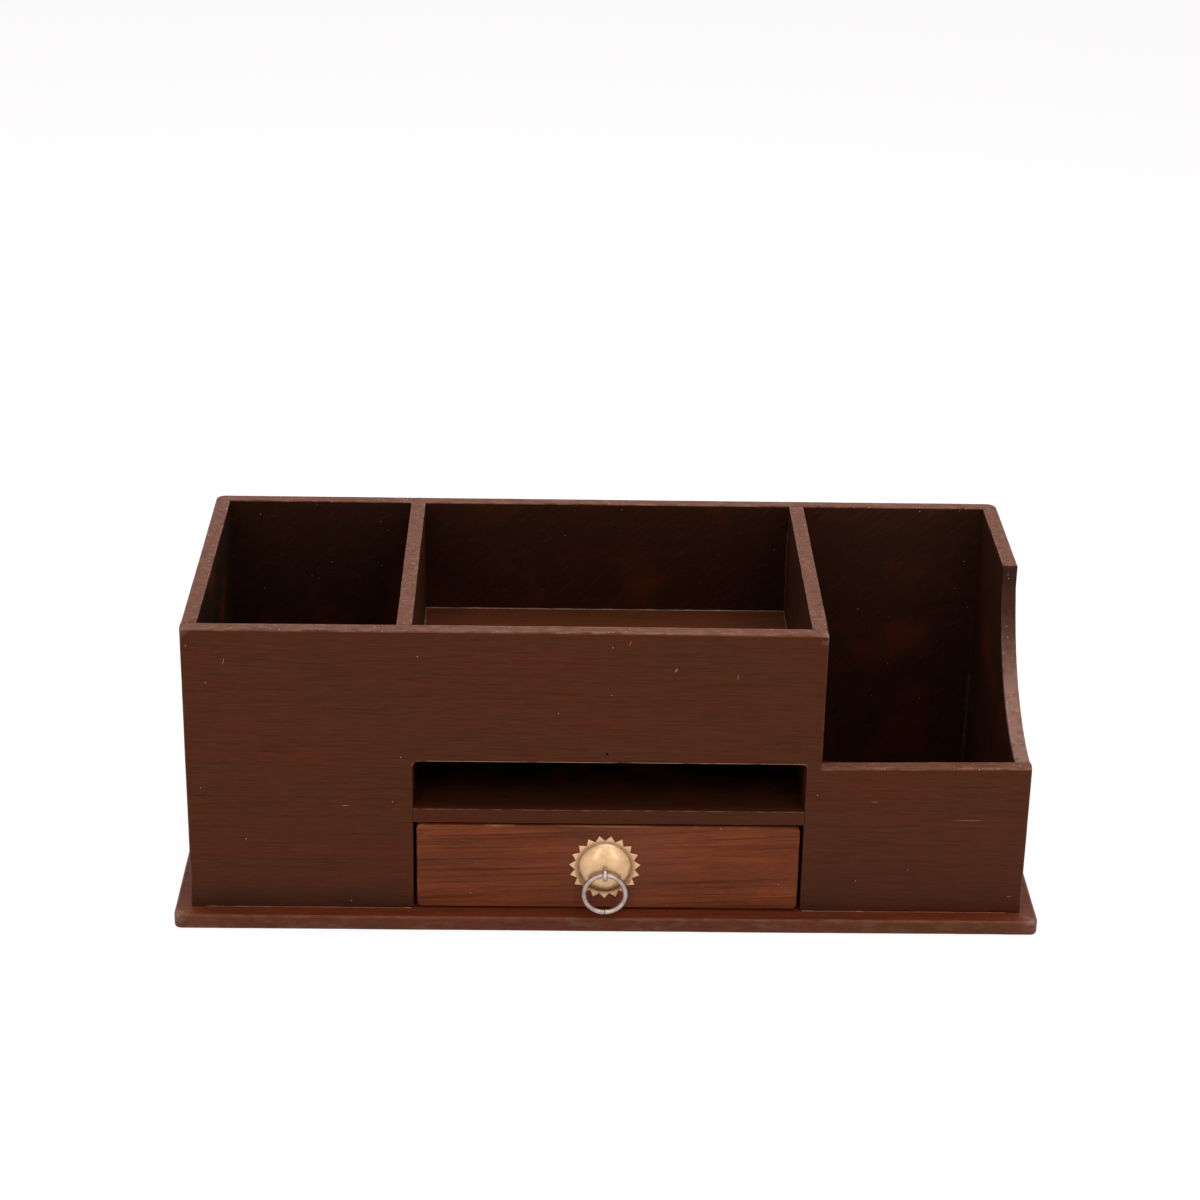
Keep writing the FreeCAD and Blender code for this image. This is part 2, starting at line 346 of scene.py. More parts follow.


# Mango wood boards, planed and sanded, stained walnut brown and rubbed with a thin satin lacquer:
# dark brown with short fine pores along the grain, redder and olive bands, pale dust caught in the pores.
# Inside the compartments the stain was brushed on slantwise in greener streaks, and the insides are painted
# darker all over as shade.
stainedBoard = {
    "main": "#512918", "roughness": 0.44, "specular": 0.14, "shine": "#FFC0A0",
    "poreDepth": 0.12,   # mm
    "fields": {   # mm along the grain, mm across it, detail, distortion, degrees off the grain
        "band": (80.0, 6.0, 2, 0.2, 0), "cloud": (60.0, 30.0, 3, 0.0, 0), "pore": (8.0, 0.38, 3, 0.0, 0),
        "line": (26.0, 0.6, 3, 0.0, 0), "patch": (5.0, 1.6, 4, 0.0, 0), "rub": (7.0, 3.0, 4, 0.0, 0),
        "brush": (9.0, 0.9, 3, 0.3, 40), "blot": (30.0, 30.0, 2, 0.0, 0),
    },
    "layers": [   # mask, field, from, to, strength, colour; -1 to 0 fills the whole mask
        (None, "band", 0.50, 0.70, 0.42, "#64291A"), (None, "cloud", 0.50, 0.70, 0.55, "#4A2C1B"),
        (None, "line", 0.50, 0.70, 0.48, "#36190E"), (None, "pore", 0.52, 0.68, 0.36, "#2E150C"),
        (None, "pore", 0.42, 0.26, 0.28, "#73402C"),
        # the first inside layer is painted shade over the whole inside; the next two are brushed stain
        ("inner", "blot", -1.0, 0.0, 0.72, "#170E08"), ("inner", "brush", 0.54, 0.72, 0.34, "#4A3524"),
        # foot: painted shade, the front panel darker towards its foot
        ("inner", "blot", 0.54, 0.70, 0.40, "#5A2411"), ("foot", "blot", 0.20, 0.60, 0.7, "#38211A"),
        # rim: paler tops, partly their own grain and partly painted sheen from above
        ("rim", "patch", 0.26, 0.60, 0.95, "#6E4331"), ("rim", "patch", 0.56, 0.72, 0.6, "#8C6151"),
        ("arris", "rub", 0.44, 0.66, 0.68, "#986A57"), ("lip", "rub", 0.36, 0.50, 0.95, "#B58D74"),
        # the first of these is a painted grey sheen low on the right side's sweep, the second painted shade
        # high on it
        ("sweepSheen", "rub", 0.20, 0.50, 0.38, "#AA8C81"), ("sweepShade", "blot", -1.0, 0.0, 0.85, "#2B1A11"),
    ],
    "specks": [   # mask, mm between them, share of places, radius in mm
        (None, 3.4, 0.05, 0.22), ("rim", 1.6, 0.45, 0.23), ("inner", 3.0, 0.07, 0.2),
    ],
    "dust": "#D8C5B8", "scratch": "#A57C5C",
    "wearAndHighlight": (0.40, 0.55, "#C3A597"),   # patch from, to; corners rubbed and painted pale as a highlight
}
# The base plate took the stain redder, and its front edge is greyed by handling
basePlateBoard = dict(stainedBoard, main="#703721", layers=[
    (None, "band", 0.46, 0.62, 0.6, "#7E3419"), (None, "line", 0.50, 0.68, 0.7, "#42190D"),
    (None, "pore", 0.54, 0.68, 0.4, "#3A170C"), ("front", "blot", -1.0, 0.0, 0.9, "#5C392D"),
    ("front", "rub", 0.50, 0.66, 0.7, "#75594A"), ("front", "patch", 0.54, 0.70, 0.7, "#452619"),
    ("front", "blot", 0.55, 0.68, 0.6, "#4C3524"), ("arris", "rub", 0.34, 0.58, 0.62, "#805444"),
    ("scuff", "patch", 0.35, 0.60, 0.5, "#785242")])
# Sheesham drawer front, straight grained and only oiled: redder, with soft dark veins that climb a little.
drawerFace = dict(
    stainedBoard, main="#743921", roughness=0.42,
    fields={"band": (90.0, 4.5, 3, 0.3, 2), "cloud": (36.0, 14.0, 3, 0.0, 0), "pore": (5.0, 0.36, 3, 0.0, 1),
            "line": (70.0, 1.5, 3, 0.2, 2), "patch": (5.0, 1.6, 4, 0.0, 0), "rub": (26.0, 9.0, 4, 0.0, 0)},
    layers=[(None, "band", 0.46, 0.68, 0.8, "#8A472B"), (None, "cloud", 0.46, 0.68, 0.7, "#623524"),
            (None, "line", 0.50, 0.70, 0.68, "#431D11"), (None, "pore", 0.50, 0.70, 0.4, "#48221A"),
            # the second layer here is a painted sheen round the pull
            (None, "pore", 0.42, 0.24, 0.3, "#965B40"), ("pullSheen", "cloud", -1.0, 0.0, 0.6, "#693F36"),
            # the second layer here is a painted highlight on the top edge beside the pull
            ("arris", "rub", 0.52, 0.64, 1.0, "#A8673F"), ("topEdgeHighlight", "rub", 0.30, 0.44, 0.8, "#A4633C")],
    specks=[(None, 3.4, 0.03, 0.26)])
# The drawer's own boards inside, sawn and left matt.
drawerBox = dict(
    stainedBoard, main="#6A412B", roughness=0.62,
    layers=[(None, "band", 0.45, 0.62, 0.6, "#7A4A30"), (None, "line", 0.50, 0.68, 0.6, "#4A2A1A"),
            (None, "pore", 0.54, 0.68, 0.5, "#3C2013"), ("arris", "rub", 0.40, 0.60, 0.6, "#8F6347")])
# Handling marks on the front panel: place in the face, degrees, half length and half width, in mm
frontMarks = [
    ((6.9, 123.4), 70, 1.3, 0.16), ((24.8, 112.2), 60, 1.0, 0.5), ((48.7, 109.6), 85, 1.4, 0.18),
    ((-103.4, 52.2), 3, 1.5, 0.2), ((142.0, 48.0), 1, 6.0, 0.15), ((104.3, 55.9), 2, 1.8, 0.15),
    ((-149.0, 114.2), 75, 1.6, 0.2), ((-156.1, 105.1), 0, 0.35, 0.3), ((160.3, 13.8), 5, 1.0, 0.2),
]


def woodMaterial(name, look, grain, seed, marks=()):
    material, tree = newMaterial(name)
    place = addNode(tree, "ShaderNodeTexCoord").outputs["Object"]
    fields = {}
    for index, (field, (along, across, detail, distortion, slope)) in enumerate(look["fields"].items()):
        size = [(along if axis == grain else across) * mm for axis in range(3)]
        # metres; no two boards or fields share a piece of the noise
        offset = [(seed * 0.37 + index * 0.11) * (axis + 1) for axis in range(3)]
        turn = [0, math.radians(-slope), 0] if grain == 0 else [math.radians(slope), 0, 0]
        mapped = addNode(tree, "ShaderNodeMapping",
                         {"vector_type": "TEXTURE", "Location": offset, "Scale": size, "Rotation": turn},
                         {"Vector": place})
        fields[field] = addNode(tree, "ShaderNodeTexNoise",
                                {"Scale": 1.0, "Detail": detail, "Roughness": 0.6, "Distortion": distortion},
                                {"Vector": mapped.outputs[0]}).outputs["Fac"]

    tints = []   # how much of a colour goes over the last, and the colour
    for mask, field, start, end, strength, code in look["layers"]:
        amount = addNode(tree, "ShaderNodeMapRange",
                         {"From Min": start, "From Max": end, "To Max": strength},
                         {"Value": fields[field]}).outputs[0]
        tints.append((mask, amount, code))
    for mask, apart, chance, radius in look["specks"]:
        cells = addNode(tree, "ShaderNodeTexVoronoi", {"Scale": 1 / (apart * mm)}, {"Vector": place})
        lot = addNode(tree, "ShaderNodeSeparateColor", {}, {0: cells.outputs["Color"]}).outputs[0]
        chosen = addNode(tree, "ShaderNodeMath", {"operation": "LESS_THAN", 1: chance}, {0: lot}).outputs[0]
        speck = addNode(tree, "ShaderNodeMapRange",
                        {"From Min": 0.4 * radius / apart, "From Max": radius / apart, "To Max": 0.0},
                        {"Value": cells.outputs["Distance"], "To Min": chosen}).outputs[0]
        tints.append((mask, speck, look["dust"]))
    for (x, z), turn, half, width in marks:
        local = addNode(tree, "ShaderNodeMapping",
                        {"vector_type": "TEXTURE", "Location": [x * mm, 0, z * mm],
                         "Rotation": [0, math.radians(-turn), 0], "Scale": [half * mm, 1000, width * mm]},
                        {"Vector": place}).outputs[0]
        away = addNode(tree, "ShaderNodeVectorMath", {"operation": "LENGTH"}, {0: local}).outputs["Value"]
        inside = addNode(tree, "ShaderNodeMapRange",
                         {"From Min": 0.6, "From Max": 1.1, "To Min": 0.7, "To Max": 0.0}, {"Value": away})
        tints.append((None, inside.outputs[0], look["scratch"]))
    # rubbed corners, painted pale as a highlight
    wearAndHighlightFrom, wearAndHighlightTo, wearAndHighlightCode = look["wearAndHighlight"]
    paleCorner = addNode(tree, "ShaderNodeMapRange", {"From Min": wearAndHighlightFrom, "From Max": wearAndHighlightTo},
                   {"Value": fields["patch"]})
    tints.append(("wearAndHighlight", paleCorner.outputs[0], wearAndHighlightCode))

    start = addNode(tree, "ShaderNodeRGB")
    start.outputs[0].default_value = linear(look["main"])
    colour = start.outputs[0]
    for mask, amount, code in tints:
        if mask:
            area = addNode(tree, "ShaderNodeAttribute", {"attribute_name": mask}).outputs["Fac"]
            amount = addNode(tree, "ShaderNodeMath", {"operation": "MULTIPLY"},
                             {0: amount, 1: area}).outputs[0]
        colour = addNode(tree, "ShaderNodeMix", {"data_type": "RGBA", 7: linear(code)},
                         {0: amount, 6: colour}).outputs[2]

    rough = addNode(tree, "ShaderNodeMapRange",
                    {"From Min": 0.3, "From Max": 0.7, "To Min": look["roughness"] - 0.06,
                     "To Max": look["roughness"] + 0.08}, {"Value": fields["line"]})
    bump = addNode(tree, "ShaderNodeBump", {"Strength": 0.5, "Distance": look["poreDepth"] * mm},
                   {"Height": fields["pore"]})
    shader = addNode(tree, "ShaderNodeBsdfPrincipled",
                     {"IOR": 1.5, "Specular IOR Level": look["specular"],
                      "Specular Tint": linear(look["shine"])},
                     {"Base Color": colour, "Roughness": rough.outputs[0], "Normal": bump.outputs[0]})
    addNode(tree, "ShaderNodeOutputMaterial", {}, {"Surface": shader.outputs[0]})
    return material


# Base plate: a lipped board with a rounded top edge

basePlate = {
    "cell": 6.0, "corner": 3.0, "topArris": 1.0, "bottomArris": 1.1,
    "worn": {"amount": 0.5, "inset": (2.0, 1.0), "radius": 2.6},   # each front corner, rubbed and painted pale as a highlight
    "scuffed": 22.0,   # mm round each front corner
}


def makeBasePlate(setup):
    low, high = nodeBox("base_plate")
    board = addSheet("basePlate", low, high, 2, setup["cell"])
    thicken(board, 2, high.z - low.z)
    bevelSharp(board, setup["corner"], 4, lambda edge: runsAlong(edge, 2))
    bevelSharp(board, setup["topArris"], 4, lambda edge: middle(edge).z > high.z - near)
    markArris(board)
    bevelSharp(board, setup["bottomArris"], 2, lambda edge: middle(edge).z < near)
    markArris(board)
    markFaces(board, "front", lambda face: share(0.6 - face.normal.z))
    worn = setup["worn"]
    insetX, insetY = worn["inset"]
    markPoints(board, "wearAndHighlight", lambda place: worn["amount"] * max(
        nearSpot(place, (side, low.y + insetY, high.z), worn["radius"])
        for side in (low.x + insetX, high.x - insetX)))
    markPoints(board, "scuff", lambda place: max(
        nearSpot(place, (side, low.y, high.z), setup["scuffed"]) for side in (low.x, high.x)))
    handPlane(board)
    smoothBoard(board)
    return board


addPiece(makeBasePlate(basePlate), "carcass",
         woodMaterial("stainedMangoBase", basePlateBoard, 0, 1), ["base_plate"])
print("base plate made")


# Plain boards: each is a planed board with softened edges

def makeBoard(name, nodeName, thin, setup):
    low, high = nodeBox(nodeName)
    board = addSheet(name, low, high, thin, setup["cell"])
    thicken(board, thin, high[thin] - low[thin])
    if "corner" in setup:
        bevelSharp(board, setup["corner"], 5, setup["cornerTest"])
    bevelSharp(board, setup["arris"])
    markArris(board)
    markRim(board, setup["rimAbove"])
    markInner(board, setup.get("inner", ()), setup.get("shadeAndStainAmount", 1.0))
    handPlane(board)
    smoothBoard(board)
    return board


def standsAtBack(edge):
    back = nodeBox("back_panel")[1].y
    return middle(edge).y > back - near and runsAlong(edge, 2)


plainBoards = {
    "backPanel": {"node": "back_panel", "thin": 1, "grain": 0, "seed": 2, "cell": 5.0, "arris": 0.55,
                  "inner": ((1, -1),), "corner": 4.0, "cornerTest": standsAtBack},
    "leftSide": {"node": "left_side", "thin": 0, "grain": 2, "seed": 3, "cell": 5.0, "arris": 0.55,
                 # the left side's insides get more of the painted shade
                 "inner": ((0, 1),), "shadeAndStainAmount": 1.3},
    "penDivider": {"node": "pen_divider", "thin": 0, "grain": 2, "seed": 4, "cell": 5.0, "arris": 0.45,
                   "inner": ((0, -1), (0, 1))},
    "letterDivider": {"node": "letter_divider", "thin": 0, "grain": 2, "seed": 5, "cell": 5.0,
                      "arris": 0.45, "inner": ((0, -1), (0, 1))},
    "shelfBoard": {"node": "shelf", "thin": 2, "grain": 0, "seed": 6, "cell": 5.0, "arris": 0.35,
                   "inner": ((2, 1), (1, -1))},
    "trayFloor": {"node": "tray_floor", "thin": 2, "grain": 0, "seed": 7, "cell": 6.0, "arris": 0.3,
                  "inner": ((2, -1),)},
}
for boardName, boardSetup in plainBoards.items():
    boardSetup["rimAbove"] = 120.0   # mm; the shelf and the tray floor lie lower and have no rim
    board = makeBoard(boardName, boardSetup["node"], boardSetup["thin"], boardSetup)
    finish = woodMaterial("stainedMango" + boardName[0].upper() + boardName[1:], stainedBoard,
                          boardSetup["grain"], boardSetup["seed"])
    addPiece(board, "carcass", finish, [boardSetup["node"]])
print("plain boards made")


# Front panel: one board, cut low at the right, with the opening for the shelf slot and the drawer

frontPanel = {
    "cell": 5.0, "arris": 0.8, "openingArris": 0.9,
    "leftCorner": 2.8, "rightCorner": 1.2, "notchCorner": 0.8,
    "openingTop": 71.8, "lowFront": 70.9,
    "upperPart": 100.0,   # a height between those two and the top
    "lowFall": 1.0, "levelAt": 0.6,   # the low front drops towards the notch
    "footShade": 4.0, "footFade": (9.0, 24.0),   # mm up, painted shade at the foot; then how far it fades, left and right
    "worn": {"left": (1.6, 0.5), "notch": (2.0, 0.6)},   # top corners, rubbed and painted pale as a highlight: radius and amount
    "lip": {"past": 1.0, "above": 2.0, "look": (-0.99, -0.8), "gain": 6.0},   # rubbed edge over the opening
    "lostStopping": {"radius": 0.55, "deep": 1.2},   # one pin's stopping has fallen out
}


def makeFrontPanel(setup):
    low, high = nodeBox("front_panel")
    notch = nodeBox("letter_divider")[1].x
    split = (bayRight + notch) / 2
    board = addSheet("frontPanel", low, high, 1)
    editMode(board)
    columns = [low.x, -bayRight, bayRight, split, notch, high.x]
    for start, end in zip(columns, columns[1:]):
        cutAcross(board, 0, stops(start, end, setup["cell"])[1:])
    for isRight, level in ((False, setup["openingTop"]), (True, setup["lowFront"])):
        heights = stops(low.z, level, setup["cell"])[1:] + stops(level, high.z, setup["cell"])[1:-1]
        cutAcross(board, 2, heights, lambda face: (middle(face).x > split) == isRight)
    pick(board, "faces",
         lambda face: abs(middle(face).x) < bayRight and middle(face).z < setup["openingTop"])
    bpy.ops.mesh.delete(type="FACE")
    pick(board, "faces", lambda face: middle(face).x > notch and middle(face).z > setup["lowFront"])
    bpy.ops.mesh.delete(type="FACE")
    objectMode()
    for vert in board.data.vertices:
        place = vert.co / mm
        if setup["lowFront"] - near < place.z < setup["upperPart"] and place.x > notch - near:
            along = (place.x - notch) / (high.x - notch)
            vert.co.z += setup["lowFall"] * (along - setup["levelAt"]) * mm
    thicken(board, 1, high.y - low.y)
    for side, radius in ((-bayRight, setup["leftCorner"]), (bayRight, setup["rightCorner"])):
        bevelSharp(board, radius, 5, lambda edge: runsAlong(edge, 1) and abs(middle(edge).x - side) < near
                   and abs(middle(edge).z - setup["openingTop"]) < near)
    bevelSharp(board, setup["notchCorner"], 4, lambda edge: runsAlong(edge, 1)
               and abs(middle(edge).x - notch) < near and middle(edge).z > high.z - near)
    bevelSharp(board, setup["arris"], 3, lambda edge: not runsAlong(edge, 1)
               and (abs(middle(edge).x) > bayRight + near or middle(edge).z > setup["upperPart"]))
    markArris(board)
    bevelSharp(board, setup["openingArris"], 3, lambda edge: not runsAlong(edge, 1))
    markArris(board, below=0.6, upright=0.0)
    markRim(board, setup["lowFront"] - 2)
    markInner(board, ((1, 1),))

    worn, lip = setup["worn"], setup["lip"]
    markPoints(board, "wearAndHighlight", lambda place: max(
        nearSpot(place, (x, low.y, high.z), radius) * amount
        for x, (radius, amount) in ((low.x, worn["left"]), (notch, worn["notch"]))))

    def lipAt(face):
        place = face.center / mm
        above = place.z - setup["openingTop"]
        over = abs(place.x) < bayRight + lip["past"] and -setup["leftCorner"] < above < lip["above"]
        isBevel = lip["look"][0] < face.normal.y < lip["look"][1]
        return share(-face.normal.z * lip["gain"]) if over and isBevel else 0.0

    # painted shade, darker towards the foot
    def footShade(place):
        fade = setup["footFade"][place.x > 0]
        return share(1 - (place.z - low.z - setup["footShade"]) / fade)

    markFaces(board, "lip", lipAt)
    markPoints(board, "foot", footShade)
    handPlane(board)
    smoothBoard(board)

    pin = setup["lostStopping"]
    trayMiddle = (nodeBox("tray_floor")[0].z + nodeBox("tray_floor")[1].z) / 2
    bpy.ops.mesh.primitive_cylinder_add(
        vertices=20, radius=pin["radius"] * mm, depth=2 * pin["deep"] * mm,
        location=Vector((pullCentre.x, low.y, trayMiddle)) * mm, rotation=(math.pi / 2, 0, 0))
    punch = finishObject("pinPunch")
    hole = board.modifiers.new("pinHole", "BOOLEAN")
    hole.object = punch
    bpy.context.view_layer.objects.active = board
    bpy.ops.object.modifier_apply(modifier=hole.name)
    bpy.data.objects.remove(punch)
    return board


addPiece(makeFrontPanel(frontPanel), "carcass",
         woodMaterial("stainedMangoFrontPanel", stainedBoard, 0, 8, frontMarks), ["front_panel"])
print("front panel made")


# Right side: level rim, a step down, and a concave sweep to the low front

rightSide = {
    "cell": 4.0, "arris": 0.55, "stepBehindFront": 69.0, "sweep": 70.0, "sweepStart": 3.0,
    "lowFront": frontPanel["lowFront"],
    "sheenFrom": 0.85, "sheenFull": 0.3,   # parts of the sweep's rise: painted grey sheen below, painted shade above
}


def makeRightSide(setup):
    low, high = nodeBox("right_side")
    stepY = frontFace + setup["stepBehindFront"]

    def sweepZ(y):
        run = y - frontFace - setup["sweepStart"]
        return setup["lowFront"] + setup["sweep"] - math.sqrt(setup["sweep"] ** 2 - run ** 2)

    hip = sweepZ(stepY)

    def riseOf(z):
        return (z / mm - setup["lowFront"]) / (hip - setup["lowFront"])

    board = addSheet("rightSide", low, high, 0)
    editMode(board)
    cutAcross(board, 1, stops(low.y, stepY, setup["cell"])[1:] + stops(stepY, high.y, setup["cell"])[1:-1])
    cutAcross(board, 2, stops(low.z, hip, setup["cell"])[1:] + stops(hip, high.z, setup["cell"])[1:-1])
    pick(board, "faces", lambda face: middle(face).y < stepY and middle(face).z > hip)
    bpy.ops.mesh.delete(type="FACE")
    objectMode()
    for vert in board.data.vertices:
        if vert.co.y < (stepY - near) * mm:
            squeeze = (sweepZ(vert.co.y / mm) - low.z) / (hip - low.z)
            vert.co.z = (low.z + (vert.co.z / mm - low.z) * squeeze) * mm
    thicken(board, 0, high.x - low.x)
    bevelSharp(board, setup["arris"])
    markArris(board)
    markRim(board, setup["lowFront"] - 2)
    markInner(board, ((0, -1),))
    # the step face and the sweep take the paler rim colour as painted sheen; low on the sweep a grey sheen
    # is painted, high on it shade
    swept = set()
    for face in board.data.polygons:
        rise = riseOf(face.center.z)
        if (face.normal.y < -0.7 and rise > 0.99) or (0 < rise < 1 and face.normal.z > 0.1):
            board.data.attributes["rim"].data[face.index].value = 1.0
            swept.update(face.vertices)
    for name, start, end in (("sweepSheen", setup["sheenFrom"], setup["sheenFull"]),
                             ("sweepShade", setup["sheenFull"], setup["sheenFrom"])):
        attribute = board.data.attributes.new(name, "FLOAT", "POINT")
        for index in swept:
            rise = riseOf(board.data.vertices[index].co.z)
            attribute.data[index].value = share((rise - start) / (end - start))
    handPlane(board)
    smoothBoard(board)
    return board


addPiece(makeRightSide(rightSide), "carcass",
         woodMaterial("stainedMangoRightSide", stainedBoard, 2, 9), ["right_side"])
print("right side made")


# Glue: thin beads squeezed out along the joints that show, wiped but not cleaned off

glueBeads = {"tray": 0.7, "corner": 0.4, "smear": 2.4, "foot": 0.5, "cornerRise": 38.0, "smearRise": 44.0,
             "step": 2.5, "lump": 4.0, "swell": 0.8}
# Hide glue, dried dull tan and dusted over; red-brown at the foot, and grey-green where it was smeared
glueLook = {"main": "#6B4C38", "second": "#7E5A3E", "dust": "#8F7663", "roughness": 0.5, "specular": 0.5,
            "lumpSize": 3.0, "lumpDepth": 0.1}   # mm
footGlueLook = dict(glueLook, main="#6E3018", second="#9A4E2A", dust="#9A6A4A")
smearGlueLook = dict(glueLook, main="#332A1F", second="#3E3528", dust="#4A4233", specular=0.1)


def makeBead(name, start, end, thick, setup):
    bpy.ops.mesh.primitive_plane_add(size=mm, location=start * mm)
    bead = finishObject(name)
    editMode(bead, "VERT")
    bpy.ops.mesh.select_all(action="SELECT")
    bpy.ops.mesh.merge(type="CENTER")
    bpy.ops.mesh.extrude_region_move(TRANSFORM_OT_translate={"value": (end - start) * mm})
    bpy.ops.mesh.select_all(action="SELECT")
    bpy.ops.mesh.subdivide(number_cuts=round((end - start).length / setup["step"]))
    bead = wireFromLine(bead, name, thick, 2)
    along = (end - start).normalized()
    for vert in bead.data.vertices:
        place = vert.co / mm
        core = start + along * (place - start).dot(along)
        swell = 1 + setup["swell"] * noise.noise(core / setup["lump"])
        vert.co = (core + (place - core) * swell) * mm
    return bead


def glueMaterial(name, look):
    material, tree = newMaterial(name)
    place = addNode(tree, "ShaderNodeTexCoord").outputs["Object"]
    lumps = addNode(tree, "ShaderNodeTexNoise", {"Scale": 1 / (look["lumpSize"] * mm), "Detail": 4.0},
                    {"Vector": place}).outputs["Fac"]
    first = addNode(tree, "ShaderNodeRGB")
    first.outputs[0].default_value = linear(look["main"])
    colour = first.outputs[0]
    for start, end, code in ((0.50, 0.60, look["second"]), (0.42, 0.32, look["dust"])):
        amount = addNode(tree, "ShaderNodeMapRange", {"From Min": start, "From Max": end}, {"Value": lumps})
        colour = addNode(tree, "ShaderNodeMix", {"data_type": "RGBA", 7: linear(code)},
                         {0: amount.outputs[0], 6: colour}).outputs[2]
    bump = addNode(tree, "ShaderNodeBump", {"Strength": 0.5, "Distance": look["lumpDepth"] * mm},
                   {"Height": lumps})
    shader = addNode(tree, "ShaderNodeBsdfPrincipled",
                     {"IOR": 1.5, "Roughness": look["roughness"], "Specular IOR Level": look["specular"]},
                     {"Base Color": colour, "Normal": bump.outputs[0]})
    addNode(tree, "ShaderNodeOutputMaterial", {}, {"Surface": shader.outputs[0]})
    return material


trayTop, foot = nodeBox("tray_floor")[1].z, nodeBox("base_plate")[1].z
trayLeft, trayRight = nodeBox("pen_divider")[1].x, nodeBox("letter_divider")[0].x
trayFront, backFace = nodeBox("front_panel")[1].y, nodeBox("back_panel")[0].y
letterRight = nodeBox("right_side")[0].x
beadRuns = {
    "trayBackGlue": ((trayLeft, backFace, trayTop), (trayRight, backFace, trayTop), "tray"),
    "trayLeftGlue": ((trayLeft, trayFront, trayTop), (trayLeft, backFace, trayTop), "tray"),
    "trayRightGlue": ((trayRight, trayFront, trayTop), (trayRight, backFace, trayTop), "tray"),
    "trayCornerGlue": ((trayRight, backFace, trayTop),
                       (trayRight, backFace, trayTop + glueBeads["cornerRise"]), "corner"),
    "letterCornerGlue": ((letterRight, backFace, foot),
                         (letterRight, backFace, foot + glueBeads["smearRise"]), "smear"),
    "footLeftGlue": ((-letterRight, frontFace, foot), (-bayRight - 1, frontFace, foot), "foot"),
    "footRightGlue": ((bayRight + 1, frontFace, foot), (letterRight, frontFace, foot), "foot"),
}
driedGlue = glueMaterial("driedHideGlue", glueLook)
glues = {"tray": driedGlue, "corner": driedGlue, "foot": glueMaterial("stainedHideGlue", footGlueLook),
         "smear": glueMaterial("smearedHideGlue", smearGlueLook)}
for beadName, (beadStart, beadEnd, kind) in beadRuns.items():
    bead = makeBead(beadName, Vector(beadStart), Vector(beadEnd), glueBeads[kind], glueBeads)
    addPiece(bead, "carcass", glues[kind], [])
print("glue beads made")


# Drawer: a lapped front with soft edges, and a plain box

drawerFront = {
    "cell": 3.0, "corner": 2.2, "arris": 0.9,
    "highlightReach": 22.0, "highlightDepth": 1.0,   # mm each side of the pull, where a highlight is painted on the top edge
    "sheenOffset": (6.0, -2.0), "sheenReach": 30.0,   # painted sheen beside the pull, the brass reflected in the wood
}


def makeDrawerFront(setup):
    low, high = nodeBox("drawer_front")
    board = addSheet("drawerFront", low, high, 1, setup["cell"])
    thicken(board, 1, high.y - low.y)
    bevelSharp(board, setup["corner"], 4, lambda edge: runsAlong(edge, 1))
    bevelSharp(board, setup["arris"], 4, lambda edge: middle(edge).y < low.y + near)
    markArris(board)

    # painted highlight on the top edge near the pull
    def topEdgeHighlightAt(face):
        away = abs(face.center.x / mm - pullCentre.x) / setup["highlightReach"]
        isTopEdge = face.normal.z > 0.2 and face.center.y < (low.y + setup["highlightDepth"]) * mm
        return share(1 - away ** 3) if isTopEdge else 0.0

    markFaces(board, "topEdgeHighlight", topEdgeHighlightAt)
    # painted sheen round the pull
    pullSheenAt = (pullCentre.x + setup["sheenOffset"][0], low.y, (low.z + high.z) / 2 + setup["sheenOffset"][1])
    markPoints(board, "pullSheen", lambda place: nearSpot(place, pullSheenAt, setup["sheenReach"]))
    handPlane(board)
    smoothBoard(board)
    return board


addPiece(makeDrawerFront(drawerFront), "drawer",
         woodMaterial("oiledSheeshamDrawerFront", drawerFace, 0, 10), ["drawer_front"])

boxBoards = {
    "drawerLeftSide": {"node": "drawer_left_side", "thin": 0, "grain": 1, "seed": 11},
    "drawerRightSide": {"node": "drawer_right_side", "thin": 0, "grain": 1, "seed": 12},
    "drawerBack": {"node": "drawer_back", "thin": 1, "grain": 0, "seed": 13},
    "drawerBottom": {"node": "drawer_bottom", "thin": 2, "grain": 0, "seed": 14},
}
for boardName, boardSetup in boxBoards.items():
    boardSetup.update(cell=6.0, arris=0.4, rimAbove=38.0)
    board = makeBoard(boardName, boardSetup["node"], boardSetup["thin"], boardSetup)
    finish = woodMaterial("sawnMango" + boardName[0].upper() + boardName[1:], drawerBox,
                          boardSetup["grain"], boardSetup["seed"])
    addPiece(board, "drawer", finish, [boardSetup["node"]])
print("drawer made")


# Ring pull: a pressed brass rosette, a steel split pin through it, and a steel wire ring

rosette = {
    "rays": 19, "tip": 14.2, "root": 11.9, "rayEdge": 0.55, "rayTop": 0.72, "rayEase": 0.982, "ridge": 0.1,
    "bank": 11.55, "bankOut": 0.72, "groove": 11.2, "grooveOut": 0.66, "foot": 10.85, "footOut": 0.72,
    "dome": 4.7, "domeSteps": 18,
    "domeStart": 0.3,     # radians up its curve, where the dome leaves the plate
    "fullness": 0.86,     # 1 is an ellipse; less is rounder in the shoulder
    "hole": 0.95, "holeEase": 0.97, "holeTurn": 0.3,
    "grooveShade": (10.2, 10.9, 11.3, 12.5),   # mm out from the middle: the painted groove shade comes, is full, is full, goes
}
pointsPerRay = 4
ringEye = {"wire": 1.4, "flat": 1.4, "loop": 1.95, "apart": 0.62, "leg": 6.4, "arcSteps": 28,
           "bend": 0.77, "bendSteps": 6}
pullRing = {"wire": 2.0, "around": 240, "section": 24, "outOfRound": 0.02, "ovalTurn": 0.6,
            "endStep": 0.14, "endReach": 0.5}   # the last is in radians


def growRing(factor, out):
    # carries the selected loop on: scaled about the pull's middle, and this far out of the face
    bpy.ops.mesh.extrude_region_move(TRANSFORM_OT_translate={"value": (0, -out * mm, 0)})
    bpy.ops.transform.resize(value=(factor, 1, factor), center_override=pullCentre * mm)


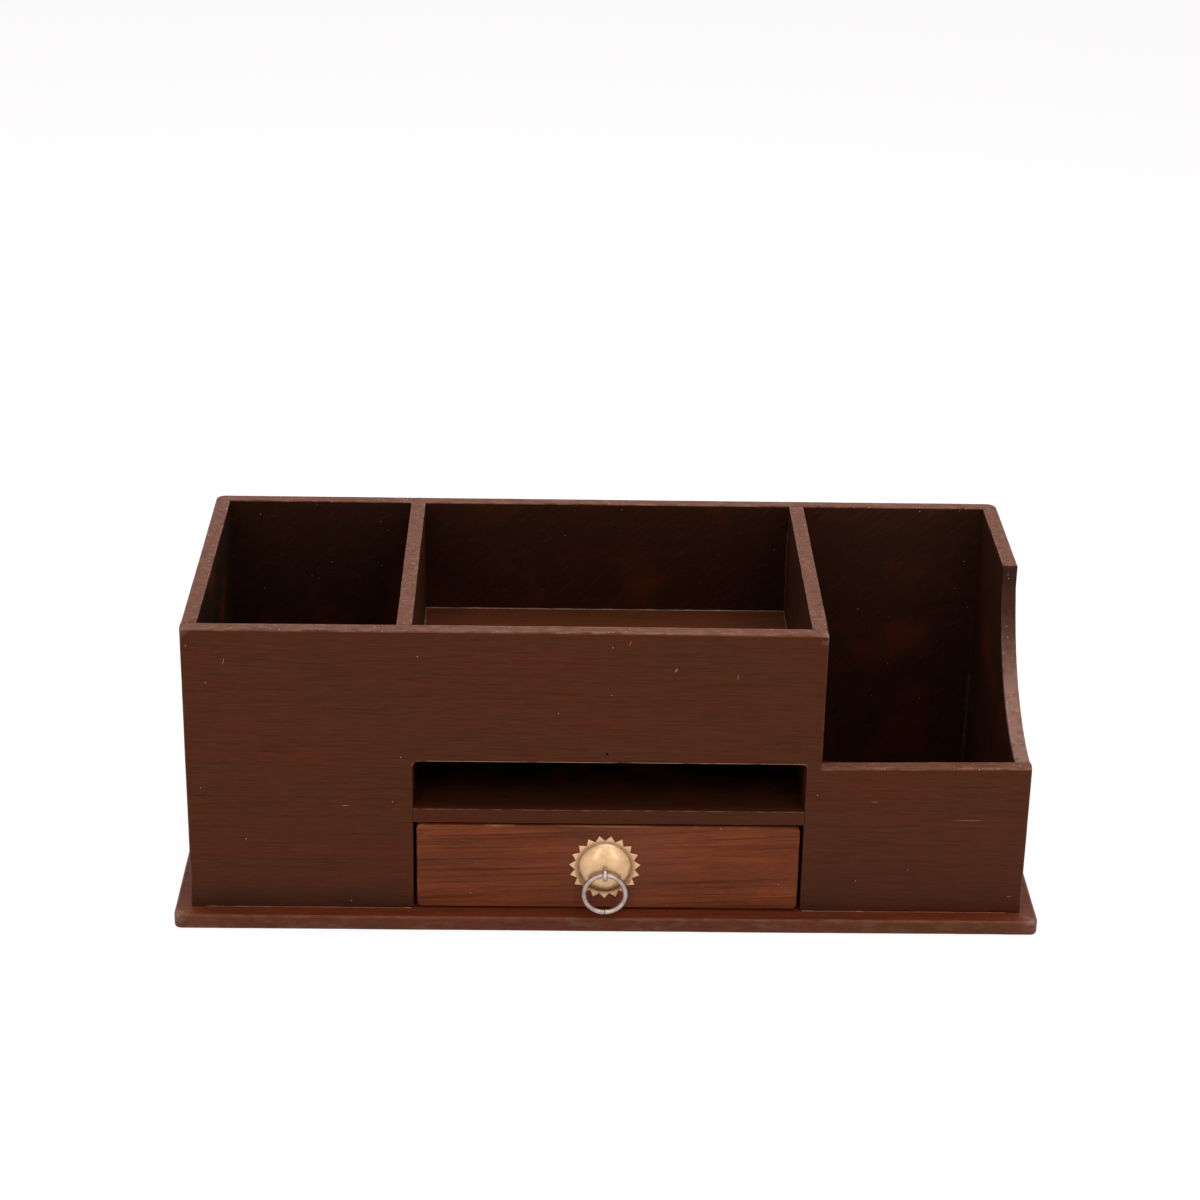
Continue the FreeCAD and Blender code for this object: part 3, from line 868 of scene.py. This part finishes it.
def makeRosette(setup):
    count = setup["rays"] * pointsPerRay
    bpy.ops.mesh.primitive_circle_add(vertices=count, radius=setup["root"] * mm, location=pullCentre * mm,
                                      rotation=(math.pi / 2, 0, 0))
    plate = finishObject("rosettePlate")
    step = 2 * math.pi / count
    flank = setup["tip"] * setup["root"] * math.sin(2 * step)
    flank /= (setup["tip"] + setup["root"]) * math.sin(step)

    def rayPlace(vert):
        # 0 on a ray's tip, 2 in a valley, 1 between them; a ray points straight down
        away = vert.co / mm - pullCentre
        turn = round(math.atan2(away.x, -away.z) / step) % pointsPerRay
        return min(turn, pointsPerRay - turn)

    editMode(plate, "VERT")
    for place, radius in ((0, setup["tip"]), (1, flank)):
        pick(plate, "verts", lambda vert: rayPlace(vert) == place)
        factor = radius / setup["root"]
        bpy.ops.transform.resize(value=(factor, 1, factor), center_override=pullCentre * mm)
    bpy.ops.mesh.select_all(action="SELECT")
    growRing(1.0, setup["rayEdge"])
    growRing(setup["rayEase"], setup["rayTop"] - setup["rayEdge"])

    # from the star's edge to a round bank, then the groove, the foot and the dome
    growRing(1.0, 0.0)
    objectMode()
    for vert in plate.data.vertices:
        if vert.select:
            away = vert.co / mm - pullCentre
            bank = Vector((away.x, 0, away.z)).normalized() * setup["bank"]
            bank.y = -setup["bankOut"] - (setup["ridge"] if rayPlace(vert) == 0 else 0)
            vert.co = (pullCentre + bank) * mm
    editMode(plate, "VERT")
    pick(plate, "verts", lambda vert: abs((vert.co / mm - pullCentre).xz.length - setup["bank"]) < 0.01)
    growRing(setup["groove"] / setup["bank"], setup["grooveOut"] - setup["bankOut"])
    grooveFloor = pullCentre - Vector((0, setup["grooveOut"], 0))
    bpy.ops.transform.resize(value=(1, 0, 1), center_override=grooveFloor * mm)
    growRing(setup["foot"] / setup["groove"], setup["footOut"] - setup["grooveOut"])
    first, full = setup["domeStart"], setup["fullness"]
    last = math.acos((setup["hole"] / setup["foot"]) ** (1 / full) * math.cos(first))
    rise = (setup["dome"] - setup["footOut"]) / (1 - math.sin(first) ** full)
    turns = stops(first, last, (last - first) / setup["domeSteps"])
    for before, after in zip(turns, turns[1:]):
        growRing((math.cos(after) / math.cos(before)) ** full,
                 rise * (math.sin(after) ** full - math.sin(before) ** full))
    # in at the hole, back to the drawer's face, and across to the star's lower edge
    top = setup["footOut"] + rise * (math.sin(last) ** full - math.sin(first) ** full)
    growRing(setup["holeEase"], -setup["holeTurn"])
    growRing(1.0, setup["holeTurn"] - top)
    pick(plate, "edges", lambda edge: edge.is_boundary)
    bpy.ops.mesh.bridge_edge_loops()
    faceOutwards()
    bpy.ops.object.shade_smooth_by_angle(angle=math.radians(32))
    return plate


def makeRingEye(setup):
    centre = Vector((pullCentre.x, eyeLow.y + setup["loop"] + setup["wire"] / 2, pullCentre.z))
    bpy.ops.mesh.primitive_circle_add(vertices=setup["arcSteps"], radius=setup["loop"] * mm,
                                      location=centre * mm, rotation=(0, math.pi / 2, 0))
    pin = finishObject("splitPinEye")
    editMode(pin, "VERT")
    pick(pin, "verts", lambda vert: vert.co.y / mm > centre.y and
         abs(vert.co.z / mm - centre.z) < setup["apart"])
    bpy.ops.mesh.delete(type="VERT")
    inside = nodeBox("drawer_front")[1].y + setup["wire"] / 2
    for side in (1, -1):
        ends = bmesh.from_edit_mesh(pin.data).verts
        endY = max(vert.co.y for vert in ends if (vert.co.z / mm - centre.z) * side > 0
                   and len(vert.link_edges) == 1)
        pick(pin, "verts", lambda vert: len(vert.link_edges) == 1 and vert.co.y == endY
             and (vert.co.z / mm - centre.z) * side > 0)
        bpy.ops.mesh.extrude_region_move(
            TRANSFORM_OT_translate={"value": (0, inside * mm - setup["bend"] * mm - endY, 0)})
        bend = [vert for vert in bmesh.from_edit_mesh(pin.data).verts if vert.select][0].co.copy()
        bpy.ops.mesh.spin(steps=setup["bendSteps"], angle=-side * math.pi / 2, axis=(1, 0, 0),
                          center=bend + Vector((0, 0, side * setup["bend"] * mm)))
        bpy.ops.mesh.extrude_region_move(TRANSFORM_OT_translate={"value": (0, 0, side * setup["leg"] * mm)})
    pin = wireFromLine(pin, "splitPinEye", setup["wire"])
    editMode(pin)
    bpy.ops.mesh.select_all(action="SELECT")
    bpy.ops.transform.resize(value=(setup["flat"], 1, 1), center_override=centre * mm)
    objectMode()
    return pin


def makePullRing(setup):
    low, high = nodeBox("pull_ring")
    middleLine = (high.x - low.x - setup["wire"]) / 2
    centre = (low + high) / 2
    centre.z = high.z - (high.x - low.x) / 2
    bpy.ops.mesh.primitive_torus_add(
        major_radius=middleLine * mm, minor_radius=setup["wire"] / 2 * mm, major_segments=setup["around"],
        minor_segments=setup["section"], location=centre * mm, rotation=(math.pi / 2, 0, 0))
    ring = finishObject("wirePullRing")
    step = 2 * math.pi / setup["around"]
    editMode(ring)

    def turnOf(place):
        return math.atan2(place.x - centre.x, centre.z - place.z)

    pick(ring, "faces", lambda face: 0 < turnOf(middle(face)) < step)
    bpy.ops.mesh.delete(type="FACE")
    pick(ring, "edges", lambda edge: edge.is_boundary)
    bpy.ops.mesh.edge_face_add()
    faceOutwards()
    for vert in ring.data.vertices:
        # a little oval, and one cut end stands out
        turn = turnOf(vert.co / mm)
        oval = setup["outOfRound"] * math.cos(2 * turn + setup["ovalTurn"])
        ease = share(1 - turn / setup["endReach"]) ** 2 if turn > 0 else 0.0
        vert.co.z += (oval + setup["endStep"] * ease) * mm
    bpy.ops.object.shade_smooth_by_angle(angle=sharp)
    return ring


# Spun and pressed brass, gone dull under lacquer: pale gold, painted browner in the groove round the dome as
# shade
brassLook = {
    "bright": "#DCB37F", "main": "#C69A66", "brown": "#A06C3C", "roughness": 0.46,
    "cloudSize": 4.0, "fineSize": 0.5, "fineDepth": 0.001,   # mm
    "coat": 1.0, "coatRoughness": 0.2, "coatIor": 1.8,
}
# Drawn steel wire, nickel dipped and worn: grey with a lilac cast, brown in its scratches
steelLook = dict(brassLook, bright="#BDABA5", main="#998883", brown="#7A625A", roughness=0.36,
                 fineDepth=0.01, coat=0.0)


def metalMaterial(name, look, grooveShade=None):
    material, tree = newMaterial(name)
    place = addNode(tree, "ShaderNodeTexCoord").outputs["Object"]
    cloud = addNode(tree, "ShaderNodeTexNoise",
                    {"Scale": 1 / (look["cloudSize"] * mm), "Detail": 4.0, "Roughness": 0.6},
                    {"Vector": place}).outputs["Fac"]
    fine = addNode(tree, "ShaderNodeTexNoise",
                   {"Scale": 1 / (look["fineSize"] * mm), "Detail": 3.0, "Roughness": 0.6},
                   {"Vector": place}).outputs["Fac"]
    mixing = addNode(tree, "ShaderNodeMapRange", {"From Min": 0.35, "From Max": 0.65}, {"Value": cloud})
    colour = addNode(tree, "ShaderNodeMix", {"data_type": "RGBA", 6: linear(look["main"]),
                                            7: linear(look["bright"])}, {0: mixing.outputs[0]}).outputs[2]
    if grooveShade:
        # painted shade in the groove round the dome, out to the roots of the rays
        flat = addNode(tree, "ShaderNodeVectorMath",
                       {"operation": "MULTIPLY_ADD", 1: (1 / mm, 0, 1 / mm),
                        2: (-pullCentre.x, 0, -pullCentre.z)}, {0: place}).outputs[0]
        away = addNode(tree, "ShaderNodeVectorMath", {"operation": "LENGTH"}, {0: flat}).outputs["Value"]
        inner, outer = [
            addNode(tree, "ShaderNodeMapRange",
                    {"interpolation_type": "SMOOTHSTEP", "From Min": start, "From Max": end,
                     "To Min": before, "To Max": 1.0 - before}, {"Value": away}).outputs[0]
            for start, end, before in ((grooveShade[0], grooveShade[1], 0.0), (grooveShade[2], grooveShade[3], 1.0))]
        brown = addNode(tree, "ShaderNodeMath", {"operation": "MULTIPLY"}, {0: inner, 1: outer}).outputs[0]
    else:
        brown = addNode(tree, "ShaderNodeMapRange", {"From Min": 0.62, "From Max": 0.75, "To Max": 0.5},
                        {"Value": fine}).outputs[0]
    colour = addNode(tree, "ShaderNodeMix", {"data_type": "RGBA", 7: linear(look["brown"])},
                     {0: brown, 6: colour}).outputs[2]
    rough = addNode(tree, "ShaderNodeMapRange", {"From Min": 0.3, "From Max": 0.7,
                                                "To Min": look["roughness"] - 0.07,
                                                "To Max": look["roughness"] + 0.09}, {"Value": cloud})
    bump = addNode(tree, "ShaderNodeBump", {"Strength": 0.4, "Distance": look["fineDepth"] * mm},
                   {"Height": fine})
    shader = addNode(tree, "ShaderNodeBsdfPrincipled",
                     {"Metallic": 1.0, "Coat Weight": look["coat"],
                      "Coat Roughness": look["coatRoughness"], "Coat IOR": look["coatIor"]},
                     {"Base Color": colour, "Roughness": rough.outputs[0], "Normal": bump.outputs[0]})
    addNode(tree, "ShaderNodeOutputMaterial", {}, {"Surface": shader.outputs[0]})
    return material


brass = metalMaterial("lacqueredBrass", brassLook, rosette["grooveShade"])
steel = metalMaterial("wornNickelSteel", steelLook)
addPiece(makeRosette(rosette), "drawer", brass, ["rosette"])
addPiece(makeRingEye(ringEye), "drawer", steel, ["ring_eye"])
addPiece(makePullRing(pullRing), "ring", steel, ["pull_ring"])
for nodeName in ("carcass_pins", "base_pins", "drawer_pins"):
    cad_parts[nodeName].data.materials.clear()
    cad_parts[nodeName].data.materials.append(steel)
print("ring pull made")


# Stage: pale floor and even studio light

lightSetup = {
    "topPower": 12.0, "topSize": (1.5, 0.9), "topPlace": (0.05, 0.12, 1.15),
    "stripPower": 4.8, "stripSize": (0.28, 1.7), "stripPlaces": ((-0.52, -1.5, 0.85), (0.7, -1.5, 0.85)),
    "horizon": 0.75, "zenith": 0.15, "zenithFrom": 0.5,   # sky strength; the last is the sine of a height
    "skyShown": 1.0, "aim": (0.0, 0.0, 0.06),
    "floorSize": 16.0, "floorGrey": 0.82, "floorGlow": 0.9, "floorPart": 0.2,
}


def shownRay(tree):
    # one for rays that reach the eye directly, by reflection or through glass
    path = addNode(tree, "ShaderNodeLightPath")
    both = addNode(tree, "ShaderNodeMath", {"operation": "MAXIMUM"},
                   {0: path.outputs["Is Camera Ray"], 1: path.outputs["Is Glossy Ray"]})
    return addNode(tree, "ShaderNodeMath", {"operation": "MAXIMUM"},
                   {0: both.outputs[0], 1: path.outputs["Is Transmission Ray"]}).outputs[0]


def addSoftbox(name, power, size, place, aim):
    data = bpy.data.lights.new(name, "AREA")
    data.shape = "RECTANGLE"
    data.size, data.size_y = size
    data.energy = power
    lamp = bpy.data.objects.new(name, data)
    bpy.context.scene.collection.objects.link(lamp)
    lamp.location = place
    lamp.rotation_euler = (Vector(aim) - lamp.location).to_track_quat("-Z", "Y").to_euler()
    lamp.visible_camera = False


def makeStage(setup):
    bpy.ops.mesh.primitive_plane_add(size=setup["floorSize"])
    floor = finishObject("floor")
    material, tree = newMaterial("paleFloor")
    lit = addNode(tree, "ShaderNodeBsdfDiffuse", {"Color": [setup["floorGrey"]] * 3 + [1]})
    topEdgeHighlight = addNode(tree, "ShaderNodeEmission",
                   {"Color": [1, 0.985, 0.99, 1], "Strength": setup["floorGlow"]})
    part = addNode(tree, "ShaderNodeBsdfDiffuse", {"Color": [setup["floorPart"]] * 3 + [1]})
    shown = addNode(tree, "ShaderNodeAddShader", {}, {0: topEdgeHighlight.outputs[0], 1: part.outputs[0]})
    both = addNode(tree, "ShaderNodeMixShader", {},
                   {0: shownRay(tree), 1: lit.outputs[0], 2: shown.outputs[0]})
    addNode(tree, "ShaderNodeOutputMaterial", {}, {"Surface": both.outputs[0]})
    floor.data.materials.append(material)

    world = bpy.data.worlds.new("studio")
    bpy.context.scene.world = world
    world.use_nodes = True
    tree = world.node_tree
    tree.nodes.clear()
    direction = addNode(tree, "ShaderNodeTexCoord").outputs["Generated"]
    height = addNode(tree, "ShaderNodeSeparateXYZ", {}, {0: direction}).outputs["Z"]
    dim = addNode(tree, "ShaderNodeMapRange", {"From Min": 0.05, "From Max": setup["zenithFrom"],
                                              "To Min": setup["horizon"], "To Max": setup["zenith"]},
                  {"Value": height}).outputs[0]
    strength = addNode(tree, "ShaderNodeMix", {"data_type": "FLOAT", 3: setup["skyShown"]},
                       {0: shownRay(tree), 2: dim})
    sky = addNode(tree, "ShaderNodeBackground", {"Color": [1, 0.99, 0.99, 1]},
                  {"Strength": strength.outputs[0]})
    addNode(tree, "ShaderNodeOutputWorld", {}, {"Surface": sky.outputs[0]})

    addSoftbox("topSoftbox", setup["topPower"], setup["topSize"], setup["topPlace"], setup["aim"])
    for place in setup["stripPlaces"]:
        addSoftbox("stripSoftbox", setup["stripPower"], setup["stripSize"], place, setup["aim"])


makeStage(lightSetup)
bpy.context.scene.view_settings.view_transform = "Standard"
print("stage set")
